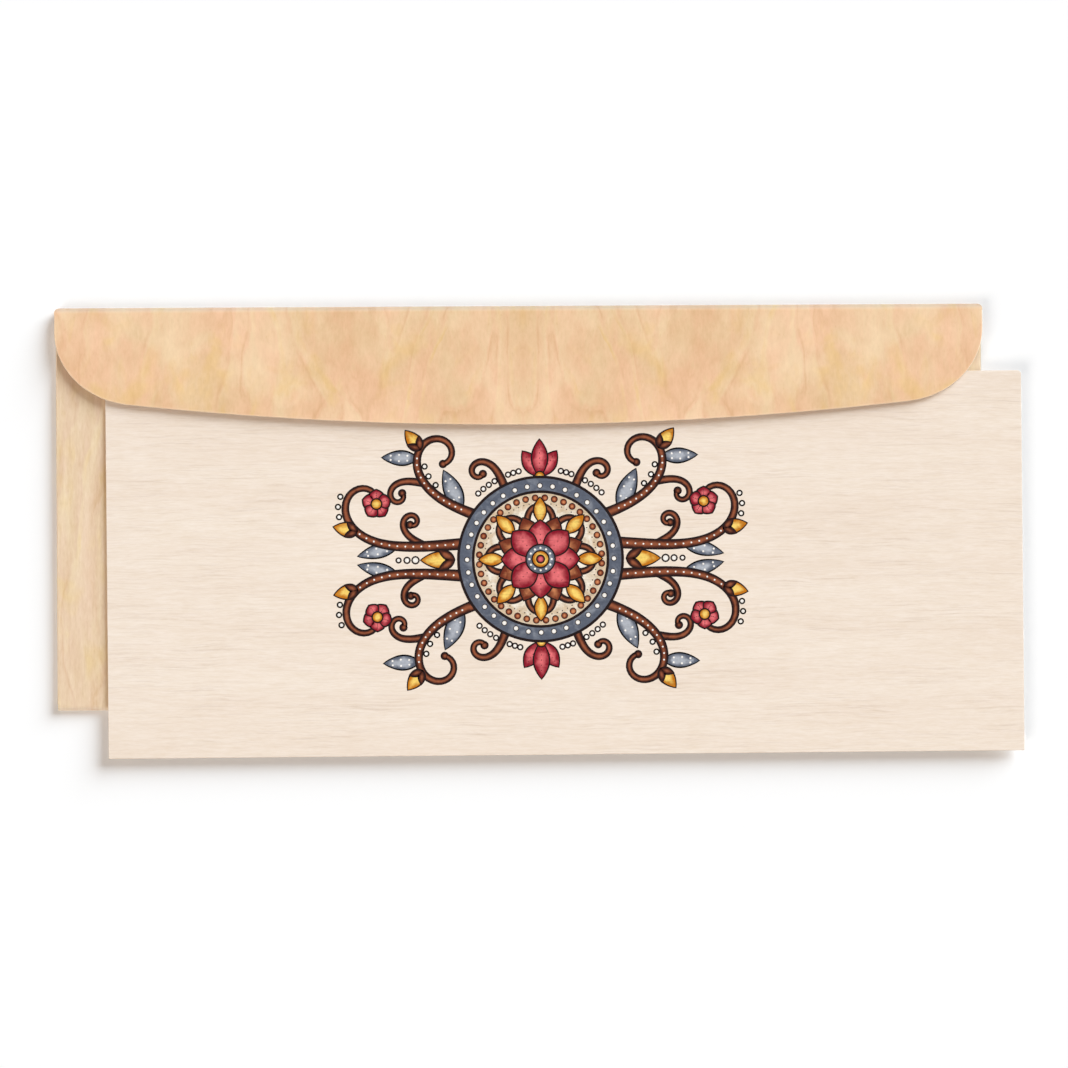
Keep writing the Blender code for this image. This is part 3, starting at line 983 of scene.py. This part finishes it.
class Drawing:
    """Collects patches of ink, layer on layer."""

    def __init__(self, layer=0):
        self.patches = []
        self.layer = layer

    def lined(self, ink, line, outline_of, over=0, lift=FILL_LIFT):
        """Draws a shape in one ink over the same shape grown by a dark line."""
        if line:
            self.patches.append(Patch("outline", self.layer + over, *outline_of(line)))
        self.patches.append(Patch(ink, self.layer + over + lift, *outline_of(0.0)))

    def disc(self, ink, centre, radius, line=INK_LINE, over=0, lift=FILL_LIFT):
        """Draws a round patch."""
        def outline_of(grow):
            count = DISC_STEPS + round(radius / DISC_STEP_LENGTH * math.tau)
            ring = [centre + ahead(angle, radius + grow) for angle in round_about(count)]
            return ring, [centre] * count
        self.lined(ink, line, outline_of, over, lift)

    def dot_ring(self, ink, count, turn, ring_radius, radius, line):
        """Draws a ring of dots round the ornament's middle."""
        for angle in round_about(count, turn):
            self.disc(ink, ahead(angle, ring_radius), radius, line)

    def drop(self, drop, base, heading, over=0):
        """Draws a drop from its base along a heading."""
        power = math.log(0.5) / math.log(drop.fullness)
        side = ahead(heading + math.pi / 2, 1)

        def outline_of(grow):
            start, length = base - ahead(heading, grow), drop.length + 2 * grow
            ring = []
            for index in range(-DROP_STEPS, DROP_STEPS):
                share = abs(index) / DROP_STEPS
                half = (drop.width / 2 + grow) * math.sin(math.pi * share ** power) ** DROP_SHARPNESS
                ring.append(start + ahead(heading, length * share) + side * math.copysign(half, index))
            return ring, [start + ahead(heading, length * drop.fullness)] * len(ring)
        self.lined(drop.ink, INK_LINE, outline_of, over)
        if drop.ink == "crimson":
            for share in SEAM_SHARES:
                dot = base + ahead(heading, drop.length * share)
                self.disc("outline", dot, SEAM_RADIUS, line=0, over=over)

    def vine(self, vine, root=None, heading=None):
        """Draws a vine and its round tip, and returns its path."""
        path = vine_path(vine, root, heading)

        def outline_of(grow):
            left, middle, right = [], [], []
            for index, (point, direction) in enumerate(path):
                width = vine.width[0] + (vine.width[1] - vine.width[0]) * index / VINE_STEPS
                side = ahead(direction + math.pi / 2, width / 2 + grow)
                left.append(point + side)
                middle.append(point)
                right.append(point - side)
            return left + right[::-1], middle + middle[::-1]
        self.lined("brown", INK_LINE, outline_of)
        self.disc("brown", path[-1][0], vine.tip_radius, lift=TIP_LIFT)
        return path


def place_on(path, share):
    """The place and heading at a share of a vine's length."""
    return path[round(share * VINE_STEPS)]


def leaf_on(drawing, path, share, heading, drop):
    """A dotted leaf that grows from a vine."""
    base, direction = place_on(path, share)[0], math.radians(heading)
    drawing.drop(drop, base, direction)
    for dot_share, side in product(LEAF_DOT_SHARES, (1, -1)):
        across = side * drop.width * LEAF_DOT_SPREAD * math.sin(math.pi * dot_share)
        dot = base + ahead(direction, drop.length * dot_share) + ahead(direction + math.pi / 2, across)
        drawing.disc("white", dot, LEAF_DOT_RADIUS, line=0, over=1)


def bud(drawing, drop, base, heading):
    """A gold bud between two brown sepals."""
    drawing.drop(drop, base, heading)
    sepal = Drop("brown", drop.length * SEPAL_LENGTH_SHARE, drop.width * SEPAL_WIDTH_SHARE, SEPAL_FULLNESS)
    for side in (1, -1):
        drawing.drop(sepal, base, heading + side * math.radians(SEPAL_TURN), over=1)


def pearls_beside(drawing, path, first, last, count, distance, radius=PEARL_RADIUS, line=INK_LINE):
    """A row of white pearls or dots that follows a vine."""
    for share in spread(first, last, count):
        point, direction = place_on(path, share)
        drawing.disc("white", point + ahead(direction + math.pi / 2, distance), radius, line)


def quarter():
    """The upper right quarter: two scrolling vines with what grows on them."""
    drawing = Drawing()
    outer_path = vine_path(OUTER_VINE)
    arch_path = vine_path(ARCH_VINE)
    for share, heading, drop in ARCH_LEAVES:
        leaf_on(drawing, arch_path, share, heading, drop)
    leaf_on(drawing, outer_path, *OUTER_LEAF)
    pearls_beside(drawing, outer_path, *OUTER_PEARLS)
    pearls_beside(drawing, arch_path, *ARCH_PEARLS)
    drawing.layer += 2
    drawing.vine(OUTER_CURL, place_on(outer_path, OUTER_CURL_SHARE)[0])
    drawing.vine(ARCH_TWIG, place_on(arch_path, ARCH_TWIG_SHARE)[0])
    drawing.vine(RIM_CURL)
    for pearls in RIM_PEARLS:
        for degrees in spread(*pearls):
            drawing.disc("white", ahead(math.radians(degrees), RIM_PEARL_RING), PEARL_RADIUS)
    drawing.layer += 1
    drawing.vine(ARCH_VINE)
    drawing.layer += 1
    drawing.vine(OUTER_VINE)
    drawing.layer += 1
    pearls_beside(drawing, outer_path, *OUTER_DOTS, VINE_DOT_RADIUS, 0)
    pearls_beside(drawing, arch_path, *ARCH_DOTS, VINE_DOT_RADIUS, 0)
    for path, (share, heading) in ((arch_path, ARCH_BUD), (outer_path, OUTER_BUD)):
        bud(drawing, BUD, place_on(path, share)[0], math.radians(heading))
    tip = outer_path[-1][0]
    for index, angle in enumerate(round_about(BLOSSOM_PETALS, BLOSSOM_TURN)):
        drawing.drop(BLOSSOM_PETAL, tip, angle, over=index % 2)
    drawing.layer += 2
    drawing.disc("gold", tip, BLOSSOM_HEART_RADIUS)
    return drawing.patches


def finial():
    """Three petals on the upright axis, above the medallion."""
    drawing = Drawing(FINIAL_LAYER)
    base = Vector((0, FINIAL_START))
    for turn, drop in FINIAL_PETALS:
        drawing.drop(drop, base, math.radians(90 + turn), over=0 if turn else 1)
    drawing.layer += 2
    drawing.disc("gold", base, FINIAL_HEART_RADIUS)
    return drawing.patches


def axis_bud():
    """A bud and three pearls on the level axis, right of the medallion."""
    drawing = Drawing(AXIS_BUD_LAYER)
    bud(drawing, AXIS_BUD, Vector((AXIS_BUD_START, 0)), 0)
    for index, radius in enumerate(AXIS_PEARL_RADII):
        drawing.disc("white", Vector((AXIS_PEARL_START + index * AXIS_PEARL_STEP, 0)), radius)
    return drawing.patches


def medallion():
    """The round middle: a pearled ring, volutes and rings of petals round a core."""
    drawing = Drawing(MEDALLION_LAYER)
    middle = Vector((0, 0))
    for ink, radius in MEDALLION_RINGS:
        drawing.disc(ink, middle, radius, MEDALLION_LINE)
        drawing.layer += 1
    for dots in (PEARL_RING, BEAD_RING, STIPPLE_RING):
        drawing.dot_ring(*dots)
    drawing.layer += 1
    for angle, side in product(round_about(PETAL_COUNT, 0.5), (1, -1)):
        volute = VOLUTE._replace(bend=tuple(bend * side for bend in VOLUTE.bend))
        drawing.vine(volute, ahead(angle, VOLUTE_START), angle + side * math.radians(VOLUTE_TURN))
    drawing.layer += 1
    for turn, start, drop in PETAL_RINGS:
        for index, angle in enumerate(round_about(PETAL_COUNT, turn)):
            drawing.drop(drop, ahead(angle, start), angle, over=index % 2)
        drawing.layer += 2
    for ink, radius in CORE_RINGS:
        drawing.disc(ink, middle, radius)
        drawing.layer += 1
    drawing.dot_ring(*CORE_DOT_RING)
    return drawing.patches


def mirrored_patches(patches, sides_x, sides_y):
    """Copies of patches on the given sides of the two axes."""
    copies = []
    for patch, side_x, side_y in product(patches, sides_x, sides_y):
        ring, hearts = ([Vector((point.x * side_x, point.y * side_y)) for point in points]
                        for points in (patch.ring, patch.hearts))
        copies.append(patch._replace(ring=ring, hearts=hearts))
    return copies


def card_turn():
    """How far the card is turned in plan, from the largest of its faces that look down the photograph."""
    faces = [face for face in NODES["card"].data.polygons if face.normal.y < -abs(face.normal.z)]
    normal = max(faces, key=lambda face: face.area).normal
    return math.atan2(normal.x, -normal.y)


def ink_mesh(patches):
    """One closed, very thin solid for each patch, sunk into the card, with its heart marked for the ink."""
    turn = card_turn()
    x_way, y_way = ahead(turn, 1), ahead(turn + math.pi / 2, 1)
    card_middle = (CARD_LOW + CARD_HIGH).to_2d() / 2
    mesh = bmesh.new()
    heart_mark = mesh.verts.layers.float.new(INK_HEART)

    def corner(corners, point, is_heart, height):
        key = (*point, is_heart, height)
        if key not in corners:
            local = point + ORNAMENT_OFFSET
            place = card_middle + x_way * local.x + y_way * local.y
            corners[key] = mesh.verts.new((place.x, place.y, height))
            corners[key][heart_mark] = 1.0 if is_heart else 0.0
        return corners[key]

    for patch in patches:
        corners = {}
        heights = (CARD_HIGH.z + patch.layer * INK_LAYER, CARD_HIGH.z - INK_SINK)
        ends = list(zip(patch.ring, patch.hearts))
        for (ring, heart), (next_ring, next_heart) in zip(ends, ends[1:] + ends[:1]):
            wanted = [(ring, False), (next_ring, False), (next_heart, True)]
            if heart != next_heart:
                wanted.append((heart, True))
            top, bottom = ([corner(corners, *point, height) for point in wanted] for height in heights)
            mesh.faces.new(top)
            mesh.faces.new(bottom[::-1])
            mesh.faces.new((bottom[0], bottom[1], top[1], top[0]))
    return mesh


def ornament():
    """The card's printed ornament: a traditional medallion with scrolling vines, one piece for each ink."""
    sides, one_side = (1, -1), (1,)
    patches = mirrored_patches(quarter(), sides, sides)
    patches += mirrored_patches(finial(), one_side, sides)
    patches += mirrored_patches(axis_bud(), sides, one_side)
    patches += medallion()
    for name, ink in INKS.items():
        mesh = ink_mesh([patch for patch in patches if patch.ink == name])
        settle(new_piece("ornament_" + name, mesh), "card", "whitened_veneer", printed(name, ink))


def floor():
    """A pale floor that keeps the object's shadow and goes to white away from it."""
    bpy.ops.mesh.primitive_plane_add(size=FLOOR_SIZE, location=(0, 0, -FLOOR_DROP))
    plane = bpy.context.object
    plane.name = "floor"
    tree = Tree("floor")
    tree.shader.inputs["Base Color"].default_value = linear(FLOOR_COLOUR)
    tree.shader.inputs["Roughness"].default_value = 1.0
    tree.shader.inputs["Specular IOR Level"].default_value = 0.0
    tree.shader.inputs["Emission Color"].default_value = (1, 1, 1, 1)
    tree.put(tree.shader.inputs["Emission Strength"], tree.math("MULTIPLY", tree.seen(), FLOOR_LIFT))
    plane.data.materials.append(tree.material)


def world():
    """An even dome, which the camera sees as white, also in mirrors and through glass."""
    dome = bpy.data.worlds.new("dome")
    tree = Nodes(dome)
    lit = tree.nodes["Background"]
    lit.inputs["Color"].default_value = (*DOME_COLOUR, 1)
    lit.inputs["Strength"].default_value = DOME_STRENGTH
    white = tree.add("Background", {"Color": (1, 1, 1, 1)})
    choice = tree.add("MixShader", {0: tree.seen(), 1: lit.outputs[0], 2: white.outputs[0]})
    tree.put(tree.nodes["World Output"].inputs["Surface"], choice.outputs[0])
    bpy.context.scene.world = dome


def sun(name, towards, angle, strength, colour):
    """A wide soft sun that gives a level surface the given strength."""
    light = bpy.data.lights.new(name, "SUN")
    light.angle = angle
    light.color = colour
    light.energy = strength * math.pi / towards.z
    lamp = bpy.data.objects.new(name, light)
    lamp.rotation_euler = towards.to_track_quat("Z", "Y").to_euler()
    bpy.context.scene.collection.objects.link(lamp)


def lamps():
    """The fill and the key, whose colour is what dome and fill leave of white."""
    others = zip(DOME_COLOUR, FILL_COLOUR)
    key_colour = [(1 - DOME_STRENGTH * dome - FILL_STRENGTH * fill) / KEY_STRENGTH for dome, fill in others]
    sun("fill", FILL_TOWARDS, FILL_ANGLE, FILL_STRENGTH, FILL_COLOUR)
    sun("key", KEY_TOWARDS, KEY_ANGLE, KEY_STRENGTH, key_colour)


def camera():
    """The long lens above the envelope."""
    lens = bpy.data.cameras.new("camera")
    lens.lens = LENS
    lens.sensor_width = SENSOR
    view = bpy.data.objects.new("camera", lens)
    distance = VIEW_WIDTH * LENS / SENSOR
    view.location = (*VIEW_CENTRE, CARD_HIGH.z + distance)
    view.rotation_euler = Euler((0, 0, VIEW_TURN))
    bpy.context.scene.collection.objects.link(view)
    bpy.context.scene.camera = view


panels()
folds()
gum_band()
card()
ornament()
floor()
world()
lamps()
camera()
bpy.context.scene.view_settings.view_transform = "Standard"
